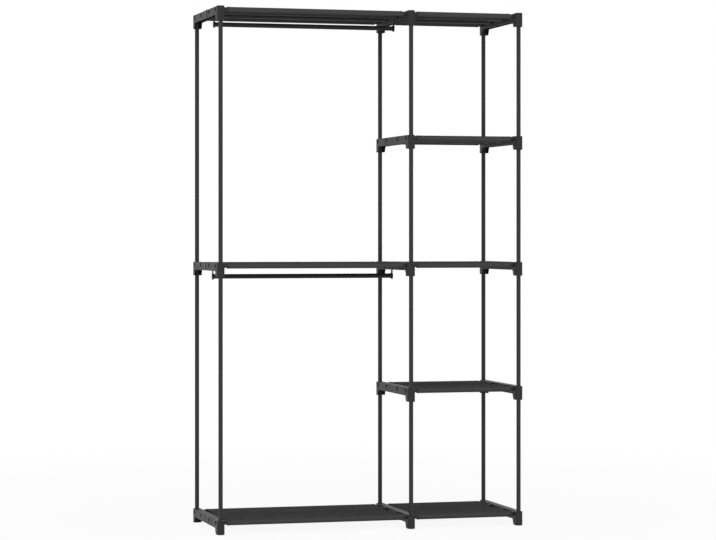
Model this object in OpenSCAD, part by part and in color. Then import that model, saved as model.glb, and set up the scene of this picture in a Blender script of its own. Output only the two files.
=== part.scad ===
// Free-standing open wardrobe: steel posts and shelf tubes pushed into moulded side rails,
// cloth shelves sewn round the outer tubes, and two hanging rods in the wide bay.
// The origin is on the floor under the middle of the footprint. +X runs to the right as seen
// from the front, +Y to the back and +Z up. Sizes are in millimetres.

/* [Overall size] */
// Height from the floor to the top of the corner caps
overall_h = 1800; // [1600:10:2000]
// Distance between the left and middle posts, axis to axis
wide_bay = 676; // [450:1:900]
// Distance between the middle and right posts, axis to axis
narrow_bay = 394; // [250:1:600]
// Distance between the front and back posts, axis to axis
post_depth = 393; // [320:1:500]

/* [Shelf heights] */
// Height of the second rails' top faces above the floor
level_2 = 489; // [300:0.5:600]
// Height of the third rails' top faces above the floor
level_3 = 925; // [750:0.5:1050]
// Height of the fourth rails' top faces above the floor
level_4 = 1367.5; // [1200:0.5:1450]

/* [Steel tubes] */
// Outside diameter of a post
post_d = 15; // [13:0.5:19]
// Outside diameter of a shelf tube
tube_d = 15; // [13:0.5:19]
// Outside diameter of a hanging rod
rod_d = 16; // [14:0.5:19]
// Wall thickness of every tube
tube_wall = 0.7; // [0.5:0.1:1.2]
// Distance between the outer shelf tubes and the inner ones, axis to axis
tube_pitch = 108; // [70:1:120]

/* [Side rails] */
// Height of the beam between the two post sleeves
rail_h = 28; // [25:0.5:34]
// Thickness of the beam's top and side walls
rail_wall = 2.4; // [1.8:0.1:3.5]
// Height of a post sleeve
sleeve_h = 48; // [42:1:60]
// Wall of a post sleeve round its bore
sleeve_wall = 6; // [4:0.5:8]
// Reach of the sleeve's flat flanks behind the post axis, at the bottom of the sleeve
sleeve_run = 18; // [14:1:20]
// Reach of the sleeve's flat flanks behind the post axis, under the beam
web_run = 27; // [22:1:30]
// Distance from a post axis to the end of the hollow under the rail
hollow_end = 4; // [0:0.5:8]
// Thickness of the stop inside a post sleeve, between two posts
post_stop = 2; // [1:0.5:4]
// Plastic between a post bore and the nearest tube socket
socket_gap = 4.6; // [3:0.1:8]
// Wall of the post and tube sockets inside a rail's hollow
socket_wall = 2.6; // [1.5:0.1:2.8]
// Distance from a rail's top face down to the tubes
tube_cover = 2.5; // [2:0.1:6]
// Thickness of the stop inside a tube socket, between two shelf tubes
tube_stop = 3; // [1.5:0.5:5]
// Width of the ledge that a stop stands in from its bore
stop_lip = 1.4; // [1:0.1:2.5]
// Thickness of the ribs under the beam
rib_t = 1.8; // [1.2:0.1:3]
// Distance from the beam's lower edge up to the ribs
rib_recess = 3; // [1:0.5:6]

/* [Caps and feet] */
// Thickness of a corner cap's crown
cap_t = 0.8; // [0.6:0.1:3]
// Thickness of a foot below its sleeve
foot_t = 1; // [0.6:0.1:5]
// Length of the plug under a cap or above a foot
plug_h = 14; // [8:1:18]
// Wall of a plug
plug_wall = 1.8; // [1.2:0.1:3]
// Distance that caps and feet stay inside the sleeve's outline
cap_inset = 0.7; // [0.3:0.1:2]

/* [Hanging rods] */
// Distance from a rail's top face down to the hanging rod's axis
rod_drop = 49; // [44:0.5:70]
// Place of the lower rod along the side rails, from their middle towards the back
lower_rod_y = -4; // [-35:1:35]
// Place of the upper rod along the side rails, from their middle towards the back
upper_rod_y = -24; // [-35:1:35]
// Width of the strap that carries a rod
strap_w = 20; // [16:0.5:24]
// Thickness of the strap
strap_t = 1.2; // [0.8:0.1:1.2]
// Length of the strap's short leg on the far side of the rail
strap_leg = 26; // [15:1:27]
// Diameter of the round seat at the foot of the strap's long leg
seat_d = 24; // [20:0.5:28]
// Height that the seat stands out of the strap, towards the rail's middle
seat_t = 1.2; // [0.5:0.1:4]
// Depth of the collar that takes the rod's end
collar_depth = 4; // [3:0.5:8]
// Wall of the collar
collar_wall = 1.6; // [1:0.1:1.9]

/* [Cloth shelves] */
// Thickness of the cloth
cloth_t = 1.2; // [0.8:0.1:2]
// Space between the cloth and the tubes inside it
cloth_gap = 0.5; // [0.2:0.1:1]
// Bare tube left between a rail's face and the cloth's edge
cloth_side_gap = 13; // [10:0.5:25]

/* [Fits] */
// Radial clearance of a post, plug or shelf tube in its bore
push_fit = 0.1; // [0.05:0.05:0.25]
// Radial clearance of a hanging rod in its collar
run_fit = 0.05; // [0.02:0.01:0.1]
// Clearance at each end of a hanging rod
rod_end_gap = 0.3; // [0.1:0.1:1]

/* [Hidden] */
$fn = 96;

columns = ["left", "middle", "right"];
bays = ["wide", "narrow"];
bay_w = [wide_bay, narrow_bay];
half_w = (wide_bay + narrow_bay) / 2;
// Only the left rails have a strap on their outer face, so the columns stand half of it to the right
left_x = strap_t / 2 - half_w;
column_x = [left_x, left_x + wide_bay, left_x + 2 * half_w];

// Heights of the rails' top faces, from the floor up
rail_top = [foot_t + sleeve_h, level_2, level_3, level_4, overall_h - cap_t];
// Levels at which each column has rails, and at which each bay has a shelf
rail_levels = [[0, 2, 4], [0, 1, 2, 3, 4], [0, 1, 2, 3, 4]];
shelf_levels = [[0, 2, 4], [0, 1, 2, 3, 4]];
rod_levels = [2, 4];
rod_names = ["lower", "upper"];
rod_ys = [lower_rod_y, upper_rod_y];

rail_w = post_d + 2 * sleeve_wall;
post_y = post_depth / 2;
post_bore_r = post_d / 2 + push_fit;
tube_bore_r = tube_d / 2 + push_fit;
tube_drop = tube_cover + tube_d / 2;
edge_tube_y = post_y - post_bore_r - socket_gap - tube_bore_r;
inner_tube_y = edge_tube_y - tube_pitch;
tube_ys = [-edge_tube_y, -inner_tube_y, inner_tube_y, edge_tube_y];
rib_ys = [0, inner_tube_y / 2, (inner_tube_y + edge_tube_y) / 2];
socket_depth = (rail_w - tube_stop) / 2;
collar_bore_r = rod_d / 2 + run_fit;
cloth_r = tube_d / 2 + cloth_gap;
// Extra length that carries a cut past the faces it opens
over = 1;

plastic = [0.17, 0.17, 0.17];
steel = [0.11, 0.11, 0.11];
cloth = [0.23, 0.23, 0.23];

// A cylinder along +X
module x_cylinder(r, length) {
    rotate([0, 90, 0]) cylinder(r = r, h = length);
}

// A round tube along +Z
module z_tube(d, length) {
    difference() {
        cylinder(d = d, h = length);
        translate([0, 0, -over]) cylinder(r = d / 2 - tube_wall, h = length + 2 * over);
    }
}

// A round tube along +X
module x_tube(d, length) {
    rotate([0, 90, 0]) z_tube(d, length);
}

// Outer form of one end of a rail: a round sleeve whose flanks run into the beam
module rail_end() {
    translate([0, 0, -sleeve_h]) cylinder(d = rail_w, h = sleeve_h);
    translate([-rail_w / 2, 0, 0])
        rotate([90, 0, 90])
            linear_extrude(rail_w)
                polygon([
                    [0, 0], [web_run, 0], [web_run, -rail_h], [sleeve_run, -sleeve_h], [0, -sleeve_h]
                ]);
}

// Outer form of a whole rail
module rail_body() {
    translate([-rail_w / 2, -post_y, -rail_h]) cube([rail_w, 2 * post_y, rail_h]);
    for (side = [0, 1])
        mirror([0, side, 0]) translate([0, -post_y, 0]) rail_end();
}

// The hollow between the flanks, open from below: what stays in it are the walls of the
// post and tube sockets, and the cross ribs
module rail_hollow() {
    difference() {
        translate([rail_wall - rail_w / 2, hollow_end - post_y, -sleeve_h - over])
            cube([rail_w - 2 * rail_wall, 2 * (post_y - hollow_end), sleeve_h + over - rail_wall]);
        for (side = [-1, 1])
            translate([0, side * post_y, -sleeve_h - over])
                cylinder(r = post_bore_r + socket_wall, h = sleeve_h + over);
        for (y = tube_ys)
            translate([-rail_w / 2, y, -tube_drop]) x_cylinder(tube_bore_r + socket_wall, rail_w);
        for (side = [-1, 1])
            for (y = rib_ys)
                translate([-rail_w / 2, side * y - rib_t / 2, rib_recess - rail_h])
                    cube([rail_w, rib_t, rail_h]);
    }
}

// Upright bore of one sleeve, with the stop left between its two halves
module post_bore() {
    half = (sleeve_h - post_stop) / 2;
    translate([0, 0, -half]) cylinder(r = post_bore_r, h = half + over);
    translate([0, 0, -sleeve_h - over]) cylinder(r = post_bore_r, h = half + over);
    translate([0, 0, -sleeve_h]) cylinder(r = post_bore_r - stop_lip, h = sleeve_h);
}

// Level bore of one tube socket, open on both faces of the rail, with the stop in its middle
module tube_socket() {
    for (side = [0, 1])
        mirror([side, 0, 0])
            translate([rail_w / 2 - socket_depth, 0, 0]) x_cylinder(tube_bore_r, socket_depth + over);
    translate([-rail_w / 2, 0, 0]) x_cylinder(tube_bore_r - stop_lip, rail_w);
}

// One side rail, with its top face at Z = 0 and its middle at the origin
module rail_shape() {
    difference() {
        rail_body();
        rail_hollow();
        for (side = [-1, 1])
            translate([0, side * post_y, 0]) post_bore();
        for (y = tube_ys)
            translate([0, y, -tube_drop]) tube_socket();
    }
}

module side_rail(c, n) {
    color(plastic)
        translate([column_x[c], 0, rail_top[n]]) rail_shape();
}

// A post between two rails of its column, from the stop in one to the stop in the next
module post(c, side, below, above) {
    seat_low = rail_top[below] - sleeve_h / 2 + post_stop / 2;
    seat_high = rail_top[above] - sleeve_h / 2 - post_stop / 2;
    color(steel)
        translate([column_x[c], side * post_y, seat_low]) z_tube(post_d, seat_high - seat_low);
}

// The four tubes of one shelf, from stop to stop
module shelf_tubes(b, n) {
    color(steel)
        for (y = tube_ys)
            translate([column_x[b] + tube_stop / 2, y, rail_top[n] - tube_drop])
                x_tube(tube_d, bay_w[b] - tube_stop);
}

// The cloth of one shelf: a flat top that ends in a sewn tunnel round each outer tube
module shelf_cloth(b, n) {
    length = bay_w[b] - rail_w - 2 * cloth_side_gap;
    color(cloth)
        translate([column_x[b] + rail_w / 2 + cloth_side_gap, 0, rail_top[n] - tube_drop])
            difference() {
                union() {
                    translate([0, -edge_tube_y, cloth_r]) cube([length, 2 * edge_tube_y, cloth_t]);
                    for (side = [-1, 1])
                        translate([0, side * edge_tube_y, 0]) x_cylinder(cloth_r + cloth_t, length);
                }
                for (side = [-1, 1])
                    translate([-over, side * edge_tube_y, 0]) x_cylinder(cloth_r, length + 2 * over);
            }
}

// A hanging rod between the two straps of the wide bay
module hanging_rod(r) {
    inset = rail_w / 2 + strap_t + rod_end_gap;
    color(steel)
        translate([column_x[0] + inset, rod_ys[r], rail_top[rod_levels[r]] - rod_drop])
            x_tube(rod_d, wide_bay - 2 * inset);
}

// A strap bent over a rail, with a round seat at the foot of its long leg and a collar on the seat
// that takes the rod's end, facing +X
module hanger_shape() {
    face = rail_w / 2;
    difference() {
        union() {
            translate([face, -strap_w / 2, -rod_drop]) cube([strap_t, strap_w, rod_drop + strap_t]);
            translate([face - seat_t, 0, -rod_drop]) x_cylinder(seat_d / 2, seat_t + strap_t);
            translate([-face - strap_t, -strap_w / 2, 0]) cube([rail_w + 2 * strap_t, strap_w, strap_t]);
            translate([-face - strap_t, -strap_w / 2, -strap_leg])
                cube([strap_t, strap_w, strap_leg + strap_t]);
            translate([face, 0, -rod_drop])
                x_cylinder(collar_bore_r + collar_wall, strap_t + collar_depth);
        }
        translate([face + strap_t, 0, -rod_drop]) x_cylinder(collar_bore_r, collar_depth + over);
    }
}

// The hanger faces the bay from either column
module rod_hanger(c, r) {
    color(steel)
        translate([column_x[c], rod_ys[r], rail_top[rod_levels[r]]]) mirror([c, 0, 0]) hanger_shape();
}

// A round head on a hollow plug that points down, with the head's underside at Z = 0
module plug(head_t) {
    difference() {
        union() {
            cylinder(d = rail_w - 2 * cap_inset, h = head_t);
            translate([0, 0, -plug_h]) cylinder(d = post_d, h = plug_h + head_t / 2);
        }
        translate([0, 0, -plug_h - over]) cylinder(r = post_d / 2 - plug_wall, h = plug_h + over);
    }
}

// Closes the tops of the six upper sleeves
module corner_caps() {
    color(plastic)
        for (x = column_x)
            for (side = [-1, 1])
                translate([x, side * post_y, rail_top[4]]) plug(cap_t);
}

// Closes the bottoms of the six lower sleeves and stands on the floor
module feet() {
    color(plastic)
        for (x = column_x)
            for (side = [-1, 1])
                translate([x, side * post_y, foot_t]) mirror([0, 0, 1]) plug(foot_t);
}

for (c = [0:2])
    for (n = rail_levels[c])
        side_rail(c, n);

for (c = [0:2])
    for (i = [1:len(rail_levels[c]) - 1]) {
        below = rail_levels[c][i - 1];
        above = rail_levels[c][i];
        post(c, -1, below, above);
        post(c, 1, below, above);
    }

for (b = [0:1])
    for (n = shelf_levels[b]) {
        shelf_tubes(b, n);
        shelf_cloth(b, n);
    }

for (r = [0:1]) {
    hanging_rod(r);
    for (c = [0:1])
        rod_hanger(c, r);
}

corner_caps();
feet();
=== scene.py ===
# Looks of an open wardrobe: coated steel tubes in moulded side rails, with sewn cloth shelves.
# Sizes in the dictionaries are millimetres and degrees, those of the studio metres.
import math

import bmesh
import bpy
import numpy as np
from mathutils import Matrix, Vector


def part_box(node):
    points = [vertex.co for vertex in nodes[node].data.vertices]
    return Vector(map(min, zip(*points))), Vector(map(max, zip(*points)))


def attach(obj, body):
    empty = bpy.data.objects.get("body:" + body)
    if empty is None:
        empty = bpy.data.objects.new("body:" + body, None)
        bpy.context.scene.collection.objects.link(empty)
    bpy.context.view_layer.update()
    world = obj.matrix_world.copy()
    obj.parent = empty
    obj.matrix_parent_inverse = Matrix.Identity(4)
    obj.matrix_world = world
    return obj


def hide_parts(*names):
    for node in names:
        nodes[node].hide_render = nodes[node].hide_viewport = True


mm = 0.001
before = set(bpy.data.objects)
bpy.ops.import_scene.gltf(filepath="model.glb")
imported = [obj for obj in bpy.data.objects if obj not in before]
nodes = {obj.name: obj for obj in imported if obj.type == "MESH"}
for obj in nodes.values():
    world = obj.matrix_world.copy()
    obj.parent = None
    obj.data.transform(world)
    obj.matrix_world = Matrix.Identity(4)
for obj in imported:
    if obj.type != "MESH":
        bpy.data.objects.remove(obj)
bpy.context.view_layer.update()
print("frame loaded:", len(nodes), "nodes")

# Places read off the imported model
columns = ("left", "middle", "right")
railLevels = {"left": (1, 3, 5), "middle": (1, 2, 3, 4, 5), "right": (1, 2, 3, 4, 5)}
shelfLevels = {"wide": (1, 3, 5), "narrow": (1, 2, 3, 4, 5)}
rodLevels = {"lower": 3, "upper": 5}
rodColumns = ("left", "middle")


def middle(node):
    low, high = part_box(node)
    return (low + high) / 2


def span(node):
    low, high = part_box(node)
    return high - low


columnX = {c: middle(f"post_{c}_front_1").x for c in columns}
postY = middle("post_left_back_1").y
postRadius = span("post_left_back_1").x / 2
railTop = {n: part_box(f"side_rail_right_{n}")[1].z for n in railLevels["right"]}
railHalf = span("side_rail_right_1").x / 2
sleeveHeight = span("side_rail_right_1").z
tubeLow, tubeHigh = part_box("shelf_tubes_wide_3")
tubeRadius = (tubeHigh.z - tubeLow.z) / 2
tubeDrop = railTop[3] - (tubeHigh.z + tubeLow.z) / 2
tubePitch = 108  # from an outer shelf tube to its neighbour
outerTubeY = tubeHigh.y - tubeRadius
innerTubeY = outerTubeY - tubePitch * mm
tubeRows = (-outerTubeY, -innerTubeY, innerTubeY, outerTubeY)
rodRadius = span("hanging_rod_lower").z / 2
rodDrop = railTop[3] - middle("hanging_rod_lower").z
rodY = {row: middle(f"hanging_rod_{row}").y for row in rodLevels}


# Short ways to make objects, and nodes in shader trees and geometry trees alike
def addObject(name, data):
    thing = bpy.data.objects.new(name, data)
    bpy.context.scene.collection.objects.link(thing)
    return thing


def put(tree, kind, feeds=None, **settings):
    node = tree.nodes.new(kind)
    for key, value in settings.items():
        setattr(node, key, value)
    for socket, source in (feeds or {}).items():
        if isinstance(source, bpy.types.NodeSocket):
            tree.links.new(source, node.inputs[socket])
        else:
            node.inputs[socket].default_value = source
    return node


def openTree(name, kind, inputs, outputs):
    tree = bpy.data.node_groups.new(name, kind)
    for label, socketType, value in inputs:
        socket = tree.interface.new_socket(name=label, in_out="INPUT", socket_type=socketType)
        if value is not None:
            socket.default_value = value
    for label, socketType in outputs:
        tree.interface.new_socket(name=label, in_out="OUTPUT", socket_type=socketType)
    return tree, put(tree, "NodeGroupInput").outputs, put(tree, "NodeGroupOutput")


def fill(tree, outNode, **sources):
    for label, source in sources.items():
        tree.links.new(source, outNode.inputs[label])


def reckon(tree, operation, *values):
    return put(tree, "ShaderNodeMath", dict(enumerate(values)), operation=operation).outputs[0]


def ranged(tree, value, low, high, fromLow=0.3, fromHigh=0.7, **settings):
    return put(tree, "ShaderNodeMapRange", {
        "Value": value, "From Min": fromLow, "From Max": fromHigh, "To Min": low, "To Max": high,
    }, **settings).outputs["Result"]


# The camera stands where the photograph was taken from, level, and turned to the right
photo = {"width": 716, "height": 540, "focalPixels": 2506, "horizonRow": 235.8}
cameraStand = {"place": (-2349.9, -8536.2, 1017.1), "turn": 15.42, "sensor": 36, "clipEnd": 60000}

camera = addObject("camera", bpy.data.cameras.new("camera"))
camera.location = Vector(cameraStand["place"]) * mm
camera.rotation_euler = (math.radians(90), 0, -math.radians(cameraStand["turn"]))
camera.data.sensor_width = cameraStand["sensor"]
camera.data.lens = photo["focalPixels"] / photo["width"] * cameraStand["sensor"]
camera.data.shift_y = (photo["horizonRow"] - photo["height"] / 2) / photo["width"]
camera.data.clip_end = cameraStand["clipEnd"] * mm
bpy.context.scene.camera = camera
bpy.context.scene.view_settings.view_transform = "Standard"
print("camera placed")


# Shader groups shared by the finishes
def makeGrainGroup():
    # Spark-eroded mould grain or orange peel, with slow blotches for the tone
    tree, given, out = openTree(
        "surfaceGrain",
        "ShaderNodeTree",
        [
            ("Vector", "NodeSocketVector", None),
            ("Grain Scale", "NodeSocketFloat", 1200.0),
            ("Blotch Scale", "NodeSocketFloat", 18.0),
        ],
        [("Height", "NodeSocketFloat"), ("Tone", "NodeSocketFloat")],
    )
    fine = put(tree, "ShaderNodeTexNoise", {
        "Vector": given["Vector"], "Scale": given["Grain Scale"], "Detail": 2.0, "Roughness": 0.6,
    })
    pits = put(tree, "ShaderNodeTexVoronoi", {
        "Vector": given["Vector"], "Scale": given["Grain Scale"],
    }, feature="SMOOTH_F1")
    blotch = put(tree, "ShaderNodeTexNoise", {
        "Vector": given["Vector"], "Scale": given["Blotch Scale"], "Detail": 3.0, "Roughness": 0.55,
    })
    height = reckon(tree, "MULTIPLY", pits.outputs["Distance"], fine.outputs["Fac"])
    fill(tree, out, Height=height, Tone=blotch.outputs["Fac"])
    return tree


def makeEdgeGroup():
    # 1 where the surface turns over an edge, broken up by noise
    tree, given, out = openTree(
        "rubbedEdges",
        "ShaderNodeTree",
        [
            ("Vector", "NodeSocketVector", None),
            ("Radius", "NodeSocketFloat", 0.001),
            ("Breakup Scale", "NodeSocketFloat", 90.0),
        ],
        [("Mask", "NodeSocketFloat")],
    )
    rounded = put(tree, "ShaderNodeBevel", {"Radius": given["Radius"]}, samples=6)
    surface = put(tree, "ShaderNodeNewGeometry")
    facing = put(tree, "ShaderNodeVectorMath", {
        0: rounded.outputs["Normal"], 1: surface.outputs["Normal"],
    }, operation="DOT_PRODUCT")
    turned = ranged(tree, facing.outputs["Value"], 0.0, 1.0, fromLow=0.995, fromHigh=0.86)
    breakup = put(tree, "ShaderNodeTexNoise", {
        "Vector": given["Vector"], "Scale": given["Breakup Scale"], "Detail": 3.0,
    })
    fill(tree, out, Mask=reckon(tree, "MULTIPLY", turned, breakup.outputs["Fac"]))
    return tree


def makeBondGroup():
    # Non-woven cloth: rows of pressed bonding points in a mat of fibres. The vector is in metres
    tree, given, out = openTree(
        "bondedFibres",
        "ShaderNodeTree",
        [
            ("Vector", "NodeSocketVector", None),
            ("Points Per Metre", "NodeSocketFloat", 560.0),
            ("Fibre Scale", "NodeSocketFloat", 1500.0),
        ],
        [
            ("Height", "NodeSocketFloat"),
            ("Pressed", "NodeSocketFloat"),
            ("Fibres", "NodeSocketFloat"),
        ],
    )
    pressDepth = 0.7  # of a bonding point, against the height of the fibres
    aslant = put(tree, "ShaderNodeMapping", {
        "Vector": given["Vector"], "Rotation": (0.0, 0.0, math.radians(45)),
    })
    points = put(tree, "ShaderNodeTexVoronoi", {
        "Vector": aslant.outputs["Vector"], "Scale": given["Points Per Metre"], "Randomness": 0.0,
    }, voronoi_dimensions="2D")
    pressed = ranged(
        tree, points.outputs["Distance"], 1.0, 0.0, fromLow=0.2, fromHigh=0.38,
        interpolation_type="SMOOTHSTEP",
    )
    drawn = put(tree, "ShaderNodeMapping", {
        "Vector": given["Vector"], "Rotation": (0.0, 0.0, math.radians(20)),
        "Scale": (0.35, 1.0, 1.0),
    })
    fibres = put(tree, "ShaderNodeTexNoise", {
        "Vector": drawn.outputs["Vector"], "Scale": given["Fibre Scale"], "Detail": 4.0,
        "Roughness": 0.7, "Distortion": 0.8,
    }).outputs["Fac"]
    height = reckon(tree, "MULTIPLY_ADD", pressed, -pressDepth, fibres)
    fill(tree, out, Height=height, Pressed=pressed, Fibres=fibres)
    return tree


grainGroup = makeGrainGroup()
edgeGroup = makeEdgeGroup()
bondGroup = makeBondGroup()


def startMaterial(name, roughness, specular):
    material = bpy.data.materials.new(name)
    material.use_nodes = True
    tree = material.node_tree
    shader = tree.nodes["Principled BSDF"]
    shader.inputs["Roughness"].default_value = roughness
    shader.inputs["Specular IOR Level"].default_value = specular
    return material, tree, shader


def mixColours(tree, factor, dark, pale):
    # The node's colour sockets go by number: 6 and 7 in, 2 out
    mixed = put(tree, "ShaderNodeMix", {0: factor}, data_type="RGBA")
    for socket, colour in ((6, dark), (7, pale)):
        if isinstance(colour, bpy.types.NodeSocket):
            tree.links.new(colour, mixed.inputs[socket])
        else:
            mixed.inputs[socket].default_value = (*colour, 1.0)
    return mixed.outputs[2]


def addBump(tree, shader, height, looks):
    bump = put(tree, "ShaderNodeBump", {
        "Height": height, "Strength": looks["bump"], "Distance": looks["bumpDepth"] * mm,
    })
    tree.links.new(bump.outputs["Normal"], shader.inputs["Normal"])


def makeHardFinish(name, looks):
    # A moulded plastic or a powder coat: grain in the bump, blotches in the tone, rubbed edges
    material, tree, shader = startMaterial(name, looks["roughness"], looks["specular"])
    place = put(tree, "ShaderNodeTexCoord").outputs["Object"]
    grain = put(tree, "ShaderNodeGroup", node_tree=grainGroup)
    edges = put(tree, "ShaderNodeGroup", node_tree=edgeGroup)
    for group in (grain, edges):
        tree.links.new(place, group.inputs["Vector"])
    grain.inputs["Grain Scale"].default_value = looks["grainScale"]
    grain.inputs["Blotch Scale"].default_value = looks["blotchScale"]
    edges.inputs["Radius"].default_value = looks["edgeRadius"] * mm
    tone = grain.outputs["Tone"]
    body = mixColours(tree, ranged(tree, tone, 0.0, 1.0), looks["dark"], looks["pale"])
    worn = reckon(tree, "MULTIPLY", edges.outputs["Mask"], looks["edgeWear"])
    tree.links.new(mixColours(tree, worn, body, looks["edge"]), shader.inputs["Base Color"])
    smooth, rough = (looks["roughness"] + side * looks["roughnessSpread"] for side in (-1, 1))
    tree.links.new(ranged(tree, tone, smooth, rough), shader.inputs["Roughness"])
    addBump(tree, shader, grain.outputs["Height"], looks)
    return material


def makeClothFinish(name, looks):
    # Fibres of two tones with faint clouds, and darker, smoother bonding points
    material, tree, shader = startMaterial(name, looks["roughness"], looks["specular"])
    place = put(tree, "ShaderNodeUVMap", uv_map="clothLay").outputs["UV"]
    bonds = put(tree, "ShaderNodeGroup", {"Vector": place}, node_tree=bondGroup).outputs
    clouds = put(tree, "ShaderNodeTexNoise", {
        "Vector": place, "Scale": looks["cloudScale"], "Detail": 4.0,
    }).outputs["Fac"]
    fibre = mixColours(tree, ranged(tree, bonds["Fibres"], 0.0, 1.0), looks["dark"], looks["pale"])
    clouded = ranged(tree, clouds, 0.0, looks["cloudShare"])
    patchy = mixColours(tree, clouded, fibre, looks["cloud"])
    pressed = reckon(tree, "MULTIPLY", bonds["Pressed"], looks["pressedShare"])
    tree.links.new(mixColours(tree, pressed, patchy, looks["pressed"]), shader.inputs["Base Color"])
    rough, smooth = looks["roughness"], looks["roughness"] - looks["pressedShine"]
    tree.links.new(
        ranged(tree, bonds["Pressed"], rough, smooth, fromLow=0.0, fromHigh=1.0),
        shader.inputs["Roughness"],
    )
    addBump(tree, shader, bonds["Height"], looks)
    return material


def makeThreadFinish(name, looks):
    material, tree, shader = startMaterial(name, looks["roughness"], looks["specular"])
    place = put(tree, "ShaderNodeTexCoord").outputs["Object"]
    plies = put(tree, "ShaderNodeTexWave", {
        "Vector": place, "Scale": looks["plyScale"], "Distortion": looks["plyTwist"],
    }, bands_direction="DIAGONAL").outputs["Fac"]
    twisted = mixColours(tree, plies, looks["dark"], looks["pale"])
    tree.links.new(twisted, shader.inputs["Base Color"])
    addBump(tree, shader, plies, looks)
    return material


plasticLooks = {
    "dark": (0.0153, 0.0153, 0.015), "pale": (0.0191, 0.0191, 0.0187),
    "edge": (0.04, 0.04, 0.039), "edgeWear": 0.5, "edgeRadius": 0.8,
    "roughness": 0.5, "roughnessSpread": 0.05, "specular": 0.2,
    "grainScale": 1400.0, "blotchScale": 16.0, "bump": 0.45, "bumpDepth": 0.12,
}
coatLooks = {
    "dark": (0.0148, 0.0148, 0.0146), "pale": (0.0172, 0.0172, 0.0169),
    "edge": (0.034, 0.034, 0.0335), "edgeWear": 0.3, "edgeRadius": 0.6,
    "roughness": 0.42, "roughnessSpread": 0.05, "specular": 0.28,
    "grainScale": 750.0, "blotchScale": 9.0, "bump": 0.25, "bumpDepth": 0.1,
}
clothLooks = {
    "dark": (0.034, 0.034, 0.0334), "pale": (0.062, 0.062, 0.061),
    "cloud": (0.044, 0.044, 0.0434), "cloudScale": 45.0, "cloudShare": 0.5,
    "pressed": (0.032, 0.032, 0.0314), "pressedShare": 0.55, "pressedShine": 0.2,
    "roughness": 0.95, "specular": 0.03, "bump": 0.7, "bumpDepth": 0.18,
}
threadLooks = {
    "dark": (0.03, 0.03, 0.0295), "pale": (0.075, 0.075, 0.0735), "plyScale": 900.0,
    "plyTwist": 1.5, "roughness": 0.6, "specular": 0.2, "bump": 0.5, "bumpDepth": 0.05,
}
railPlastic = makeHardFinish("railPlastic", plasticLooks)
capPlastic = makeHardFinish("capPlastic", {**plasticLooks, "roughness": 0.46, "grainScale": 1700.0})
tubeCoat = makeHardFinish("tubeCoat", coatLooks)
# The tube coat made darker and less glossy for the hanging rods: painted shade for where they hang
# under the shelves
rodCoat = makeHardFinish("rodCoat", {
    **coatLooks, "dark": (0.0142, 0.0142, 0.014), "pale": (0.0168, 0.0168, 0.0165),
    "specular": 0.15, "grainScale": 900.0,
})
hangerCoat = makeHardFinish("hangerCoat", {**coatLooks, "edgeWear": 0.5, "roughness": 0.45})
seatPlastic = makeHardFinish("seatPlastic", {
    **plasticLooks, "dark": (0.005, 0.005, 0.005), "pale": (0.007, 0.007, 0.007),
    "edge": (0.02, 0.02, 0.02),
})
shelfCloth = makeClothFinish("shelfCloth", clothLooks)
seamThread = makeThreadFinish("seamThread", threadLooks)
print("finishes made")


# Meshes and geometry trees
def meshOf(name, points, faces=(), edges=()):
    mesh = bpy.data.meshes.new(name)
    mesh.from_pydata([tuple(p) for p in points], list(edges), [tuple(f) for f in faces])
    mesh.update()
    return mesh


def outlineMesh(name, outline):
    # An open line standing in the XZ plane
    points = [(x * mm, 0, z * mm) for x, z in outline]
    return meshOf(name, points, edges=[(i, i + 1) for i in range(len(points) - 1)])


def bake(thing):
    # The evaluated mesh, with every modifier in it
    graph = bpy.context.evaluated_depsgraph_get()
    return bpy.data.meshes.new_from_object(thing.evaluated_get(graph), depsgraph=graph)


def runTree(name, tree, base, inputs):
    thing = addObject(name + "Source", base)
    modifier = thing.modifiers.new(name, "NODES")
    modifier.node_group = tree
    for socket in tree.interface.items_tree:
        if socket.in_out == "INPUT" and socket.name in inputs:
            modifier[socket.identifier] = inputs[socket.name]
    made = bake(thing)
    made.name = name
    bpy.data.objects.remove(thing)
    return made


def endTree(tree, out, shape, material):
    real = put(tree, "GeometryNodeRealizeInstances", {"Geometry": shape})
    painted = put(tree, "GeometryNodeSetMaterial", {
        "Geometry": real.outputs["Geometry"], "Material": material,
    })
    fill(tree, out, Geometry=painted.outputs["Geometry"])
    return tree


def crispen(mesh, angle):
    # Smooth over the rounds, sharp where a face meets another at more than the angle
    mesh.shade_smooth()
    mesh.set_sharp_from_angle(angle=math.radians(angle))
    return mesh


def finishPiece(name, mesh, material, body, replaced=()):
    mesh.materials.clear()
    mesh.materials.append(material)
    mesh.name = name
    thing = addObject(name, mesh)
    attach(thing, body)
    if replaced:
        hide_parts(*replaced)
    return thing


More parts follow.
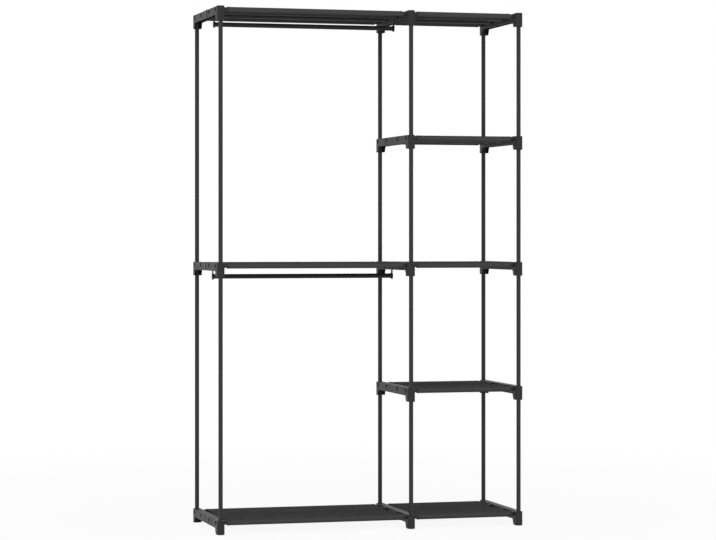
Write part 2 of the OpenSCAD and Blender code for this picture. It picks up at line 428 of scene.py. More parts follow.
def makeTurningTree():
    # Turns an outline (x = radius, z = height) about Z and puts a copy at each place
    tree, given, out = openTree(
        "turnedOnPlaces",
        "GeometryNodeTree",
        [
            ("Outline", "NodeSocketGeometry", None),
            ("Segments", "NodeSocketInt", 48),
            ("Places", "NodeSocketObject", None),
            ("Turn", "NodeSocketRotation", None),
            ("Material", "NodeSocketMaterial", None),
        ],
        [("Geometry", "NodeSocketGeometry")],
    )
    count = put(tree, "GeometryNodeAttributeDomainSize", {"Geometry": given["Outline"]})
    around = put(tree, "FunctionNodeIntegerMath", {
        0: given["Segments"], 1: 1,
    }, operation="ADD").outputs[0]
    grid = put(tree, "GeometryNodeMeshGrid", {
        "Vertices X": count.outputs["Point Count"], "Vertices Y": around,
    })
    index = put(tree, "GeometryNodeInputIndex").outputs[0]
    along = put(tree, "FunctionNodeIntegerMath", {0: index, 1: around}, operation="DIVIDE_FLOOR")
    step = put(tree, "FunctionNodeIntegerMath", {0: index, 1: around}, operation="MODULO")
    share = reckon(tree, "DIVIDE", step.outputs[0], given["Segments"])
    angle = reckon(tree, "MULTIPLY", share, 2 * math.pi)
    position = put(tree, "GeometryNodeInputPosition")
    sample = put(tree, "GeometryNodeSampleIndex", {
        "Geometry": given["Outline"], "Value": position.outputs[0], "Index": along.outputs[0],
    }, data_type="FLOAT_VECTOR")
    spun = put(tree, "ShaderNodeVectorRotate", {
        "Vector": sample.outputs["Value"], "Angle": angle,
    }, rotation_type="Z_AXIS")
    shaped = put(tree, "GeometryNodeSetPosition", {
        "Geometry": grid.outputs["Mesh"], "Position": spun.outputs["Vector"],
    })
    closed = put(tree, "GeometryNodeMergeByDistance", {
        "Geometry": shaped.outputs["Geometry"], "Distance": 0.001 * mm,
    })
    places = put(tree, "GeometryNodeObjectInfo", {"Object": given["Places"]})
    copies = put(tree, "GeometryNodeInstanceOnPoints", {
        "Points": places.outputs["Geometry"], "Instance": closed.outputs["Geometry"],
        "Rotation": given["Turn"],
    })
    return endTree(tree, out, copies.outputs["Instances"], given["Material"])


turningTree = makeTurningTree()
alongX = (0, 90, 0)  # the turn that lays a turned piece along the shelves


def turnedPieces(name, outline, places, segments, turn=(0, 0, 0), material=None):
    spots = addObject(name + "Places", meshOf(name + "Places", places))
    made = runTree(name, turningTree, outlineMesh(name + "Outline", outline), {
        "Segments": segments, "Places": spots, "Turn": [math.radians(a) for a in turn],
        "Material": material,
    })
    bpy.data.objects.remove(spots)
    return made


def cylinder(radius, high, low):
    return [(0, high), (radius, high), (radius, low), (0, low)]


def corner(x, z, radius, start, end, steps=4):
    # Points of an arc round (x, z), with angles in degrees from the x axis
    angles = [math.radians(start + (end - start) * i / steps) for i in range(steps + 1)]
    return [(x + radius * math.cos(a), z + radius * math.sin(a)) for a in angles]


def cutAway(base, tool):
    thing, other = addObject("base", base), addObject("tool", tool)
    modifier = thing.modifiers.new("cut", "BOOLEAN")
    modifier.operation, modifier.solver, modifier.object = "DIFFERENCE", "EXACT", other
    made = bake(thing)
    for old in (thing, other):
        bpy.data.objects.remove(old)
    return made


def roundEdges(shape, chosen, radius):
    bmesh.ops.bevel(
        shape, geom=chosen, offset=radius * mm, offset_type="OFFSET", segments=3, profile=0.5,
        affect="EDGES", clamp_overlap=True,
    )


def moved(mesh, x=0.0, y=0.0, z=0.0, mirrorX=False):
    copy = mesh.copy()
    if mirrorX:
        copy.transform(Matrix.Scale(-1, 4, (1, 0, 0)))
        copy.flip_normals()
    copy.transform(Matrix.Translation((x, y, z)))
    return copy


# Side rail: one moulding, drawn round its top face's middle
railSizes = {
    "beamHeight": 28, "gussetReach": 27, "gussetFoot": 18, "gussetFillet": 3.5,
    "topRound": 1.3, "underRound": 0.6, "hollowRound": 1.5, "hollowEnd": 4, "wall": 2.4,
    "socketDepth": 12, "socketFlare": 0.4, "socketWall": 2.6, "postFlare": 0.6, "postStop": 2,
    "boreRoom": 0.1, "stopLip": 1.4, "ribThickness": 1.8, "ribRecess": 3, "endSteps": 28,
    "overrun": 2, "weld": 0.002, "sharpAngle": 32,  # overrun: how far a cut runs past the rail
}
postPlaces = [(0, y, 0) for y in (-postY, postY)]
socketPlaces = [(0, y, -tubeDrop) for y in tubeRows]


def railUnderside():
    # (reach inward from the post axis, height) along the underside, from sleeve foot to beam
    s = railSizes
    foot, knee = (s["gussetFoot"], -sleeveHeight / mm), (s["gussetReach"], -s["beamHeight"])
    slope = math.degrees(math.atan2(knee[1] - foot[1], knee[0] - foot[0]))
    r = s["gussetFillet"]
    # The fillet touches the slanted face and the flat underside
    back = r * math.tan(math.radians(slope / 2))
    return [foot] + corner(knee[0] + back, knee[1] - r, r, 90 + slope, 90)


def railOuter():
    s = railSizes
    width, post = railHalf / mm, postY / mm
    under = railUnderside()
    ring = []  # (x, y, bottom height) round the plan, starting at the right flank's middle
    for y, z in reversed(under):
        ring.append((width, post - y, z))
    steps = s["endSteps"]
    for i in range(steps + 1):
        a = math.pi * i / steps
        ring.append((width * math.cos(a), post + width * math.sin(a), under[0][1]))
    for y, z in under:
        ring.append((-width, post - y, z))
    ring += [(-x, -y, z) for x, y, z in ring]
    count = len(ring)
    points = [(x * mm, y * mm, 0) for x, y, z in ring]
    points += [(x * mm, y * mm, z * mm) for x, y, z in ring]
    faces = [tuple(range(count))]
    faces += [(i, i + count, (i + 1) % count + count, (i + 1) % count) for i in range(count)]
    # Under faces: one under each round end, and strips across between mirrored flank points
    flank, half = len(under), count // 2
    for start in (count, count + half):
        faces.append(tuple(start + i for i in reversed(range(flank - 1, flank + steps + 2))))
    for start in (count, count + half):
        last = start + half - 1
        for i in range(flank - 1):
            faces.append((last - i, last - i - 1, start + i + 1, start + i))
    faces.append((count, count + half - 1, count + half, 2 * count - 1))
    mesh = meshOf("railOuter", points, faces)
    shape = bmesh.new()
    shape.from_mesh(mesh)
    bmesh.ops.recalc_face_normals(shape, faces=shape.faces)
    level, upright, downward = 1e-7, 0.01, -0.05  # a height of nothing, and slopes of normals
    rim = [e for e in shape.edges if all(abs(v.co.z) < level for v in e.verts)]
    roundEdges(shape, rim, s["topRound"])
    # Below, the edges between a flank and a face that looks down
    wellBelow = -20 * mm
    lower = [
        e for e in shape.edges
        if max(v.co.z for v in e.verts) < wellBelow
        and any(abs(f.normal.z) < upright for f in e.link_faces)
        and any(f.normal.z < downward for f in e.link_faces)
    ]
    roundEdges(shape, lower, s["underRound"])
    shape.to_mesh(mesh)
    shape.free()
    return mesh


def roundedBlock(low, high, radius):
    shape = bmesh.new()
    bmesh.ops.create_cube(shape, size=1)
    size = [b - a for a, b in zip(low, high)]
    for v in shape.verts:
        v.co = Vector([a + (c + 0.5) * d for a, c, d in zip(low, v.co, size)]) * mm
    roundEdges(shape, list(shape.edges), radius)
    made = bpy.data.meshes.new("block")
    shape.to_mesh(made)
    shape.free()
    return made


def makeRibTree():
    # A thin upright rib across the hollow at each place
    tree, given, out = openTree(
        "ribsAcrossHollow",
        "GeometryNodeTree",
        [
            ("Places", "NodeSocketGeometry", None),
            ("Rib Width", "NodeSocketFloat", 0.027),
            ("Rib Thickness", "NodeSocketFloat", 0.0018),
            ("Rib Height", "NodeSocketFloat", 0.025),
            ("Material", "NodeSocketMaterial", None),
        ],
        [("Geometry", "NodeSocketGeometry")],
    )
    size = put(tree, "ShaderNodeCombineXYZ", {
        "X": given["Rib Width"], "Y": given["Rib Thickness"], "Z": given["Rib Height"],
    })
    rib = put(tree, "GeometryNodeMeshCube", {"Size": size.outputs["Vector"]})
    copies = put(tree, "GeometryNodeInstanceOnPoints", {
        "Points": given["Places"], "Instance": rib.outputs["Mesh"],
    })
    return endTree(tree, out, copies.outputs["Instances"], given["Material"])


def makeHollow():
    # The space between the flanks, open from below; socket walls and ribs stand in it
    s = railSizes
    width, end = railHalf / mm, postY / mm - s["hollowEnd"]
    below = -sleeveHeight / mm - 2 * s["overrun"]
    hollow = roundedBlock(
        (s["wall"] - width, -end, below), (width - s["wall"], end, -s["wall"]), s["hollowRound"],
    )
    wall = tubeRadius / mm + s["boreRoom"] + s["socketWall"]
    postWall = cylinder(wall, s["overrun"], below - s["overrun"])
    postWalls = turnedPieces("postWalls", postWall, postPlaces, segments=64)
    tubeWall = cylinder(wall, width, -width)
    tubeWalls = turnedPieces("tubeWalls", tubeWall, socketPlaces, segments=56, turn=alongX)
    ribHeight = s["beamHeight"] - s["ribRecess"]
    halfRows = (0, innerTubeY / 2, (innerTubeY + outerTubeY) / 2)
    rows = sorted({side * y for side in (-1, 1) for y in halfRows})
    places = meshOf("ribPlaces", [(0, y, -ribHeight / 2 * mm) for y in rows])
    ribs = runTree("ribs", makeRibTree(), places, {
        "Rib Width": 2 * width * mm, "Rib Thickness": s["ribThickness"] * mm,
        "Rib Height": ribHeight * mm, "Material": railPlastic,
    })
    for kept in (postWalls, tubeWalls, ribs):
        hollow = cutAway(hollow, kept)
    return hollow


def boreOutline(top, low, flare, stopTop, stopLow):
    # A bore right through, with a flare at each mouth and a narrower stop between
    s = railSizes
    bore, past = tubeRadius / mm + s["boreRoom"], s["overrun"]
    wide, lip = bore + flare, bore - s["stopLip"]
    return (
        [(0, top + past), (wide, top + past)] + corner(wide, top - flare, flare, 90, 180)
        + [(bore, stopTop), (lip, stopTop), (lip, stopLow), (bore, stopLow)]
        + corner(wide, low + flare, flare, 180, 270) + [(wide, low - past), (0, low - past)]
    )


def makeRail():
    s = railSizes
    width, foot, stop = railHalf / mm, -sleeveHeight / mm, s["postStop"] / 2
    deep = width - s["socketDepth"]
    postBore = boreOutline(0, foot, s["postFlare"], foot / 2 + stop, foot / 2 - stop)
    socket = boreOutline(width, -width, s["socketFlare"], deep, -deep)
    rail = cutAway(railOuter(), makeHollow())
    rail = cutAway(rail, turnedPieces("postBores", postBore, postPlaces, segments=64))
    rail = cutAway(rail, turnedPieces("sockets", socket, socketPlaces, segments=56, turn=alongX))
    shape = bmesh.new()
    shape.from_mesh(rail)
    bmesh.ops.remove_doubles(shape, verts=shape.verts, dist=s["weld"] * mm)
    shape.to_mesh(rail)
    shape.free()
    thing = addObject("railDraft", crispen(rail, s["sharpAngle"]))
    weighted = thing.modifiers.new("weighted", "WEIGHTED_NORMAL")
    weighted.keep_sharp = True
    made = bake(thing)
    bpy.data.objects.remove(thing)
    return made


railMesh = makeRail()
for column in columns:
    for level in railLevels[column]:
        node = f"side_rail_{column}_{level}"
        finishPiece(
            f"rail_{column}_{level}", moved(railMesh, columnX[column], 0, railTop[level]),
            railPlastic, "frame", [node],
        )
print("side rails:", len(railMesh.polygons), "faces each")


# Corner caps and feet: one turned shape each, at the six posts
capSizes = {
    "inset": 0.7, "plugWall": 1.8, "edge": 1.0, "edgeShare": 0.85, "chamfer": 0.8, "inside": 0.6,
    "dish": 0.25, "crown": ((0, 1), (0.55, 0.8), (0.75, 0)),  # shares of the radius and the dish
    "sharpAngle": 40,
}


def headOutline(height, plugLength, edge):
    s = capSizes
    head, plug = railHalf / mm - s["inset"], postRadius / mm
    bore, tip = plug - s["plugWall"], plug - s["chamfer"]
    return (
        [(head * reach, height - s["dish"] * depth) for reach, depth in s["crown"]]
        + corner(head - edge, height - edge, edge, 90, 0)
        + [(head, 0), (plug, 0), (plug, s["chamfer"] - plugLength), (tip, -plugLength)]
        + [(bore, -plugLength), (bore, -s["inside"]), (0, -s["inside"])]
    )


def addHeads(node, piece, seatHeight, flipped):
    s = capSizes
    low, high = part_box(node)
    tall = (high.z - low.z) / mm
    height = abs((low.z if flipped else high.z) - seatHeight) / mm
    outline = headOutline(height, tall - height, min(s["edge"], height * s["edgeShare"]))
    places = [(columnX[c], y, seatHeight) for c in columns for y in (-postY, postY)]
    mesh = turnedPieces(
        piece, outline, places, segments=56, turn=(180 if flipped else 0, 0, 0), material=capPlastic,
    )
    finishPiece(piece, crispen(mesh, s["sharpAngle"]), capPlastic, "frame", [node])


addHeads("corner_caps", "post_caps", railTop[5], False)
addHeads("feet", "post_feet", railTop[1] - sleeveHeight, True)
print("caps and feet")


# Rod hangers: a steel strap bent over the rail, and a round black seat with a collar for the rod
hangerSizes = {
    "strapWidth": 20, "strapThickness": 1.2, "farLeg": 26, "bend": 1.6, "edge": 0.35,
    "seatRadius": 12, "seatBack": 1.2, "seatProud": 0.25, "seatEdge": 0.5, "edgeSteps": 3,
    "collarDepth": 4, "collarWall": 1.6, "collarRoom": 0.05, "sharpAngle": 40,
}


def makeStrapTree():
    # A flat strip along a path whose corners are bent
    tree, given, out = openTree(
        "bentStrap",
        "GeometryNodeTree",
        [
            ("Path", "NodeSocketGeometry", None),
            ("Strap Width", "NodeSocketFloat", 0.02),
            ("Strap Thickness", "NodeSocketFloat", 0.0012),
            ("Bend Radius", "NodeSocketFloat", 0.0016),
            ("Edge Round", "NodeSocketFloat", 0.0003),
            ("Material", "NodeSocketMaterial", None),
        ],
        [("Geometry", "NodeSocketGeometry")],
    )
    path = put(tree, "GeometryNodeMeshToCurve", {"Mesh": given["Path"]})
    bent = put(tree, "GeometryNodeFilletCurve", {
        "Curve": path.outputs["Curve"], "Radius": given["Bend Radius"], "Count": 6,
    }, mode="POLY")
    flat = put(tree, "GeometryNodeCurvePrimitiveQuadrilateral", {
        "Width": given["Strap Thickness"], "Height": given["Strap Width"],
    })
    soft = put(tree, "GeometryNodeFilletCurve", {
        "Curve": flat.outputs["Curve"], "Radius": given["Edge Round"], "Count": 2,
    }, mode="POLY")
    strip = put(tree, "GeometryNodeCurveToMesh", {
        "Curve": bent.outputs["Curve"], "Profile Curve": soft.outputs["Curve"], "Fill Caps": True,
    })
    return endTree(tree, out, strip.outputs["Mesh"], given["Material"])


def makeStrap():
    s = hangerSizes
    thick = s["strapThickness"]
    run = railHalf / mm + thick / 2
    path = [(-run, -s["farLeg"]), (-run, thick / 2), (run, thick / 2), (run, -rodDrop / mm)]
    strap = runTree("strap", makeStrapTree(), outlineMesh("strapPath", path), {
        "Strap Width": s["strapWidth"] * mm, "Strap Thickness": thick * mm,
        "Bend Radius": s["bend"] * mm, "Edge Round": s["edge"] * mm, "Material": hangerCoat,
    })
    return crispen(strap, s["sharpAngle"])


def makeSeat():
    # Drawn with its height along the rod, from the strap's back face
    s = hangerSizes
    thick, disc, edge, steps = s["strapThickness"], s["seatRadius"], s["seatEdge"], s["edgeSteps"]
    back, face, top = -s["seatBack"], thick + s["seatProud"], thick + s["collarDepth"]
    bore = rodRadius / mm + s["collarRoom"]
    ring = bore + s["collarWall"]
    outline = (
        [(0, thick), (bore, thick)] + corner(bore + edge, top - edge, edge, 180, 90, steps)
        + corner(ring - edge, top - edge, edge, 90, 0, steps) + [(ring, face)]
        + corner(disc - edge, face - edge, edge, 90, 0, steps)
        + corner(disc - edge, back + edge, edge, 0, -90, steps) + [(0, back)]
    )
    seat = turnedPieces("seat", outline, [(railHalf, 0, -rodDrop)], segments=64, turn=alongX)
    return crispen(seat, s["sharpAngle"])


hangerPieces = (("strap", makeStrap(), hangerCoat), ("seat", makeSeat(), seatPlastic))
for row, level in rodLevels.items():
    for column in rodColumns:
        place = (columnX[column], rodY[row], railTop[level])
        for piece, mesh, material in hangerPieces:
            finishPiece(
                f"hanger_{piece}_{row}_{column}", moved(mesh, *place, mirrorX=column == "middle"),
                material, "frame", [f"rod_hanger_{row}_{column}"],
            )
print("rod hangers")


# Posts, shelf tubes and hanging rods keep their imported shape; posts and tubes get the coat, the
# rods its darker, less glossy copy with painted shade
for name, thing in nodes.items():
    if name.startswith(("post_", "shelf_tubes_")):
        thing.material_slots[0].material = tubeCoat
    elif name.startswith("hanging_rod_"):
        thing.material_slots[0].material = rodCoat
print("tubes coated")


# Cloth shelves: one sheet, sewn round the outer tubes and lying over the inner ones
clothSizes = {
    "thickness": 1.0, "hemThickness": 1.6, "tubeGap": 0.6, "tunnelSlack": 0.4,
    "cell": 7.0, "hem": 12.0, "hemStep": 0.8, "hemMiddle": 8.0, "hemMargin": 0.1,
    "seam": 20.0, "seamAllowance": 8.0, "seamRows": 6, "wrapSteps": 14, "runSteps": 5,
    "allowanceSteps": 2, "sag": 2.6, "sideDroop": 0.9, "droopReach": 40.0, "gatherReach": 9.0,
    "gathers": ((23.0, 0.14), (37.0, 0.1), (61.0, 0.09)),  # length along the seam, and height
    "sharpAngle": 50,
}
settling = {
    "frames": 26, "quality": 6, "mass": 0.12, "stretch": 18, "shear": 10, "bending": 0.6,
    "slack": 0.0016, "gap": 0.6, "propReach": 20,  # slack is a share of the length
}
stitchSizes = {
    "length": 3.2, "pitch": 4.2, "thread": 0.55, "hemInset": 9.0, "lift": 0.05, "bareColumns": 2,
}


def nearest(values, target):
    return int(np.argmin(np.abs(values - target)))


def gridFaces(nx, ny):
    return [
        (i * ny + j, (i + 1) * ny + j, (i + 1) * ny + j + 1, i * ny + j + 1)
        for i in range(nx - 1) for j in range(ny - 1)
    ]


def rowsAcross():
    # Distances across the panel, with a row at each seam
    s = clothSizes
    reach = outerTubeY / mm
    seam = reach - s["seam"]
    edge = list(np.linspace(-reach, -seam, s["seamRows"]))
    inner = list(np.linspace(-seam, seam, 2 * round(seam / s["cell"]) + 1))
    return np.array(edge[:-1] + inner + [-y for y in reversed(edge[:-1])])


def columnsAlong(length):
    # Distances along the panel, closer together where the side hems end
    s = clothSizes
    half = length / 2
    hem = half - s["hem"]
    plain = np.linspace(-hem + s["hemStep"], hem - s["hemStep"], 2 * round(hem / s["cell"]) + 1)
    edge = [-half, -hem - s["hemMiddle"], -half + stitchSizes["hemInset"], -hem]
    return np.array(edge + list(plain) + [-x for x in reversed(edge)])


def drapedHeights(xs, ys):
    # First guess of how far the panel hangs below the line over its tubes
    s = clothSizes
    rows = [y / mm for y in tubeRows]
    sag = np.zeros(len(ys))
    for a, b in zip(rows, rows[1:]):
        share = np.clip((ys - a) / (b - a), 0, 1)
        sag = np.maximum(sag, s["sag"] * ((b - a) / (rows[1] - rows[0])) * 4 * share * (1 - share))
    droop = 1 + s["sideDroop"] * np.exp((np.abs(xs) - xs.max()) / s["droopReach"])
    return -np.outer(droop, sag)


def simulatePanel(xs, ys, heights):
    # Lets the sheet settle over the two inner tubes, held by two rows along each outer one
    s = settling
    nx, ny = len(xs), len(ys)
    points = [
        (x * mm, y * mm, heights[i, j] * mm) for i, x in enumerate(xs) for j, y in enumerate(ys)
    ]
    panel = addObject("panel", meshOf("panel", points, gridFaces(nx, ny)))
    held = panel.vertex_groups.new(name="held")
    held.add([i * ny + j for i in range(nx) for j in (0, 1, ny - 2, ny - 1)], 1.0, "REPLACE")
    reach = xs.max() + s["propReach"]
    props = addObject("props", turnedPieces(
        "props", cylinder(tubeRadius / mm, reach, -reach),
        [(0, y, 0) for y in (-innerTubeY, innerTubeY)], segments=40, turn=alongX,
    ))
    props.modifiers.new("collision", "COLLISION")
    props.collision.thickness_outer = s["gap"] * mm
    modifier = panel.modifiers.new("cloth", "CLOTH")
    cloth = modifier.settings
    cloth.quality, cloth.mass = s["quality"], s["mass"]
    cloth.tension_stiffness = cloth.compression_stiffness = s["stretch"]
    cloth.shear_stiffness, cloth.bending_stiffness = s["shear"], s["bending"]
    cloth.vertex_group_mass = "held"
    cloth.shrink_min = -s["slack"]
    modifier.collision_settings.distance_min = s["gap"] * mm
    scene = bpy.context.scene
    modifier.point_cache.frame_start, modifier.point_cache.frame_end = 1, s["frames"]
    for number in range(1, s["frames"] + 1):
        scene.frame_set(number)
    settled = bake(panel)
    out = np.zeros(len(settled.vertices) * 3)
    settled.vertices.foreach_get("co", out)
    scene.frame_set(1)
    for old in (panel, props):
        bpy.data.objects.remove(old)
    return out.reshape(nx, ny, 3) / mm


def panelShape(length):
    s = clothSizes
    xs, ys = columnsAlong(length), rowsAcross()
    heights = tubeRadius / mm + s["tubeGap"] + s["thickness"] / 2 + drapedHeights(xs, ys)
    return simulatePanel(xs, ys, heights)
    gridX, gridY = np.meshgrid(xs, ys, indexing="ij")
    return np.dstack([gridX, gridY, heights])


def gathered(panel):
    # Small gathers along both seams, where the thread draws the cloth in
    s = clothSizes
    along, across = panel[:, 0, 0], panel[0, :, 1]
    for side in (-1, 1):
        waves = sum(
            height * np.sin(2 * math.pi * along / length + side * length)
            for length, height in s["gathers"]
        )
        away = (across - side * (outerTubeY / mm - s["seam"])) / s["gatherReach"]
        panel[:, :, 2] += np.outer(waves, np.exp(-away ** 2))
    return panel


def sewnSide(panel, side):
    # The sheet past an outer tube: round the tube, back to the seam, and the allowance
    s = clothSizes
    # The tunnel is wider than its tube and hangs from the tube's top
    radius = tubeRadius / mm + s["tubeGap"] + s["tunnelSlack"] + s["thickness"] / 2
    ys = panel[0, :, 1] * side  # this side's tube is at +outerTubeY
    reach = outerTubeY / mm
    seam = panel[:, nearest(ys, reach - s["seam"]), :].copy()
    end = panel[:, nearest(ys, reach - s["seam"] - s["seamAllowance"]), :].copy()
    for row in (seam, end):
        row[:, 2] -= s["thickness"]
    # Where a straight run from the seam touches the round under the tube
    away, below = s["seam"], seam[:, 2] + s["tunnelSlack"]
    distance = np.hypot(away, below)
    touch = np.arctan2(below, -away) - np.arccos(np.clip(radius / distance, -1, 1))
    touch = np.where(touch < -math.pi, touch + 2 * math.pi, touch)
    touch = np.where(touch > 0, touch - 2 * math.pi, touch)
    layers = []
    for k in range(1, s["wrapSteps"] + 1):
        angle = math.pi / 2 + (touch - math.pi / 2) * k / s["wrapSteps"]
        y = reach + radius * np.cos(angle)
        z = radius * np.sin(angle) - s["tunnelSlack"]
        layers.append(np.column_stack([panel[:, 0, 0], side * y, z]))
    last = layers[-1]
    for k in range(1, s["runSteps"] + 1):
        layers.append(last + (seam - last) * k / s["runSteps"])
    for k in range(1, s["allowanceSteps"] + 1):
        layers.append(seam + (end - seam) * k / s["allowanceSteps"])
    stack = np.stack(layers, axis=1)
    stack[:, :, 0] = panel[:, [0], 0]
    return stack


def clothMesh(name, panel):
    front, back = sewnSide(panel, -1), sewnSide(panel, 1)
    sheet = np.concatenate([front[:, ::-1], panel, back], axis=1)
    nx, ny = sheet.shape[:2]
    mesh = meshOf(name, sheet.reshape(-1, 3) * mm, gridFaces(nx, ny))
    # The lay of the cloth in metres: along the shelf, and along the sheet's own run across it
    steps = np.linalg.norm(np.diff(sheet[nx // 2], axis=0), axis=1) * mm
    run = np.concatenate([[0.0], np.cumsum(steps)])
    lay = mesh.uv_layers.new(name="clothLay")
    for loop in mesh.loops:
        i, j = divmod(loop.vertex_index, ny)
        lay.data[loop.index].uv = (sheet[i, ny // 2, 0] * mm, run[j])
    return mesh, run[-1], (nx, ny)


def makeStitchTree():
    # Threads lying along a path, a stitch at each step
    tree, given, out = openTree(
        "stitchRow",
        "GeometryNodeTree",
        [
            ("Path", "NodeSocketGeometry", None),
            ("Stitch Length", "NodeSocketFloat", 0.0032),
            ("Pitch", "NodeSocketFloat", 0.0042),
            ("Thread", "NodeSocketFloat", 0.0005),
            ("Material", "NodeSocketMaterial", None),
        ],
        [("Geometry", "NodeSocketGeometry")],
    )
    path = put(tree, "GeometryNodeMeshToCurve", {"Mesh": given["Path"]})
    spaced = put(tree, "GeometryNodeResampleCurve", {
        "Curve": path.outputs["Curve"], "Length": given["Pitch"],
    }, mode="LENGTH")
    tangent = put(tree, "GeometryNodeInputTangent")
    aim = put(tree, "FunctionNodeAlignRotationToVector", {"Vector": tangent.outputs[0]}, axis="X")
    bead = put(tree, "GeometryNodeMeshUVSphere", {"Segments": 6, "Rings": 5, "Radius": 0.5})
    size = put(tree, "ShaderNodeCombineXYZ", {
        "X": given["Stitch Length"], "Y": given["Thread"], "Z": given["Thread"],
    })
    copies = put(tree, "GeometryNodeInstanceOnPoints", {
        "Points": spaced.outputs["Curve"], "Instance": bead.outputs["Mesh"],
        "Rotation": aim.outputs["Rotation"], "Scale": size.outputs["Vector"],
    })
    return endTree(tree, out, copies.outputs["Instances"], given["Material"])


stitchTree = makeStitchTree()


def seamPaths(panel):
    # Lines on the panel's top: along both tunnels, and across at both side hems
    s, stitch = clothSizes, stitchSizes
    xs, ys = panel[:, 0, 0], panel[0, :, 1]
    reach, half, bare = outerTubeY / mm, xs.max(), stitch["bareColumns"]
    lift = np.array([0, 0, s["thickness"] / 2 + stitch["lift"]])
    hemLift = np.array([0, 0, s["hemThickness"] / 2 + stitch["lift"]])
    paths = []
    for side in (-1, 1):
        row = nearest(ys, side * (reach - s["seam"]))
        paths.append(panel[bare:-bare, row] + lift)
        column = nearest(xs, side * (half - stitch["hemInset"]))
        paths.append(panel[column, :] + hemLift)
    return paths


def polylines(name, paths):
    points, edges = [], []
    for path in paths:
        first = len(points)
        points += [tuple(p * mm) for p in path]
        edges += [(first + i, first + i + 1) for i in range(len(path) - 1)]
    return meshOf(name, points, edges=edges)


def addShelf(bay, level, panel, turned):
    s = clothSizes
    node = f"shelf_cloth_{bay}_{level}"
    place = Matrix.Translation((middle(node).x, 0, railTop[level] - tubeDrop))
    if turned:  # the same cut, put on the other way round
        panel = panel[::-1, ::-1] * np.array([-1, -1, 1])
    mesh, run, (nx, ny) = clothMesh(f"cloth_{bay}_{level}", panel)
    mesh.transform(place)
    thing = addObject(mesh.name, mesh)
    hem = thing.vertex_groups.new(name="hem")
    inner = np.abs(panel[:, 0, 0]).max() - s["hem"] + s["hemMargin"]
    hemmed = [i for i in range(nx) if abs(panel[i, 0, 0]) >= inner]
    hem.add([i * ny + j for i in hemmed for j in range(ny)], 1.0, "REPLACE")
    wall = thing.modifiers.new("thickness", "SOLIDIFY")
    wall.thickness, wall.offset = s["hemThickness"] * mm, 0
    wall.vertex_group, wall.thickness_vertex_group = "hem", s["thickness"] / s["hemThickness"]
    solid = crispen(bake(thing), s["sharpAngle"])
    bpy.data.objects.remove(thing)
    cloth = finishPiece(f"cloth_{bay}_{level}", solid, shelfCloth, "frame", [node])
    seams = runTree("seams", stitchTree, polylines("seamPaths", seamPaths(panel)), {
        "Stitch Length": stitchSizes["length"] * mm, "Pitch": stitchSizes["pitch"] * mm,
        "Thread": stitchSizes["thread"] * mm, "Material": seamThread,
    })
    seams.transform(place)
    seams.shade_smooth()
    stitches = finishPiece(f"stitches_{bay}_{level}", seams, seamThread, "frame")
    length = (panel[:, 0, 0].max() - panel[:, 0, 0].min()) * mm
    return cloth, length, run


for bay, levels in shelfLevels.items():
    panel = gathered(panelShape(span(f"shelf_cloth_{bay}_1").x / mm))
    for number, level in enumerate(levels):
        cloth, length, run = addShelf(bay, level, panel, number % 2 == 1)
    faceCount = len(cloth.data.polygons)
    print(f"{bay} shelves: {length:.3f} x {run:.3f} m flat,", faceCount, "faces each")


# Floor, light and surroundings
studio = {
    "floorSize": 60, "floorPale": 0.82, "floorBounce": 0.7, "floorGlow": 0.92,
    "floorRoughness": 0.9, "shadeReach": (0.9, 3.5), "surroundings": 0.4, "lampAim": (0, 0, 0.9),
}
lamps = {
    # place, size across and up in metres, and watts
    "leftWindow": {"place": (-7.0, -2.5, 2.6), "size": (4.5, 4.5), "watts": 150},
    "overhead": {"place": (0.3, -1.2, 6.5), "size": (6.0, 5.0), "watts": 30},
    "frontFill": {"place": (-1.0, -9.0, 4.5), "size": (7.0, 4.0), "watts": 455},
    "lowFill": {"place": (-0.5, -5.0, 0.6), "size": (5.0, 1.0), "watts": 85},
}


def rayKinds(tree):
    # 1 for camera rays, and 1 for what glossy or clear surfaces show
    rays = put(tree, "ShaderNodeLightPath").outputs
    shown = reckon(tree, "MAXIMUM", rays["Is Glossy Ray"], rays["Is Transmission Ray"])
    return rays["Is Camera Ray"], shown


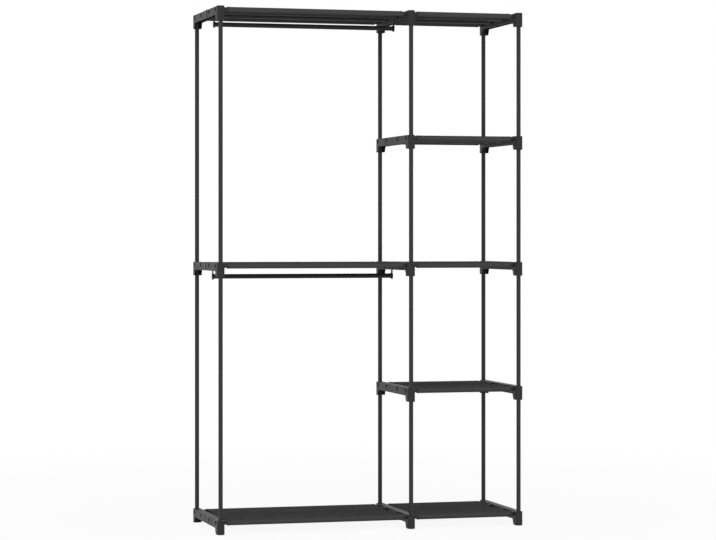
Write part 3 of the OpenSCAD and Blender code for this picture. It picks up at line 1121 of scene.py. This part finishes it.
def makeFloor():
    half = studio["floorSize"] / 2
    corners = [(-half, -half, 0), (half, -half, 0), (half, half, 0), (-half, half, 0)]
    floor = addObject("floor", meshOf("floor", corners, [(0, 1, 2, 3)]))
    material, tree, shader = startMaterial("floorPaint", studio["floorRoughness"], 0.0)
    seen, shown = rayKinds(tree)
    bounce, pale = ((studio[key],) * 3 for key in ("floorBounce", "floorPale"))
    tree.links.new(mixColours(tree, seen, bounce, pale), shader.inputs["Base Color"])
    glow = put(tree, "ShaderNodeEmission", {"Color": (1, 1, 1, 1), "Strength": 1.0})
    # The camera sees a little of the lit floor round the object, and plain white farther off
    place = put(tree, "ShaderNodeTexCoord").outputs["Object"]
    away = put(tree, "ShaderNodeVectorMath", {0: place}, operation="LENGTH").outputs["Value"]
    near, far = studio["shadeReach"]
    white = ranged(tree, away, studio["floorGlow"], 1.0, near, far)
    share = reckon(tree, "MULTIPLY_ADD", seen, white, shown)
    mixed = put(tree, "ShaderNodeMixShader", {0: share, 1: shader.outputs[0], 2: glow.outputs[0]})
    tree.links.new(mixed.outputs[0], tree.nodes["Material Output"].inputs["Surface"])
    floor.data.materials.append(material)


def makeSurroundings():
    world = bpy.data.worlds.new("surroundings")
    world.use_nodes = True
    bpy.context.scene.world = world
    tree = world.node_tree
    background = tree.nodes["Background"]
    background.inputs["Color"].default_value = (1, 1, 1, 1)
    white = reckon(tree, "MAXIMUM", *rayKinds(tree))
    level = ranged(tree, white, studio["surroundings"], 1.0, fromLow=0.0, fromHigh=1.0)
    tree.links.new(level, background.inputs["Strength"])


def makeLamps():
    aim = Vector(studio["lampAim"])
    for name, lamp in lamps.items():
        light = bpy.data.lights.new(name, "AREA")
        light.shape = "RECTANGLE"
        light.size, light.size_y = lamp["size"]
        light.energy = lamp["watts"]
        thing = addObject(name, light)
        thing.location = lamp["place"]
        thing.rotation_euler = (aim - thing.location).to_track_quat("-Z", "Y").to_euler()
        thing.visible_camera = False
        thing.visible_glossy = False  # gloss shows the even white surroundings, not the lamps


makeFloor()
makeSurroundings()
makeLamps()
print("studio lit")
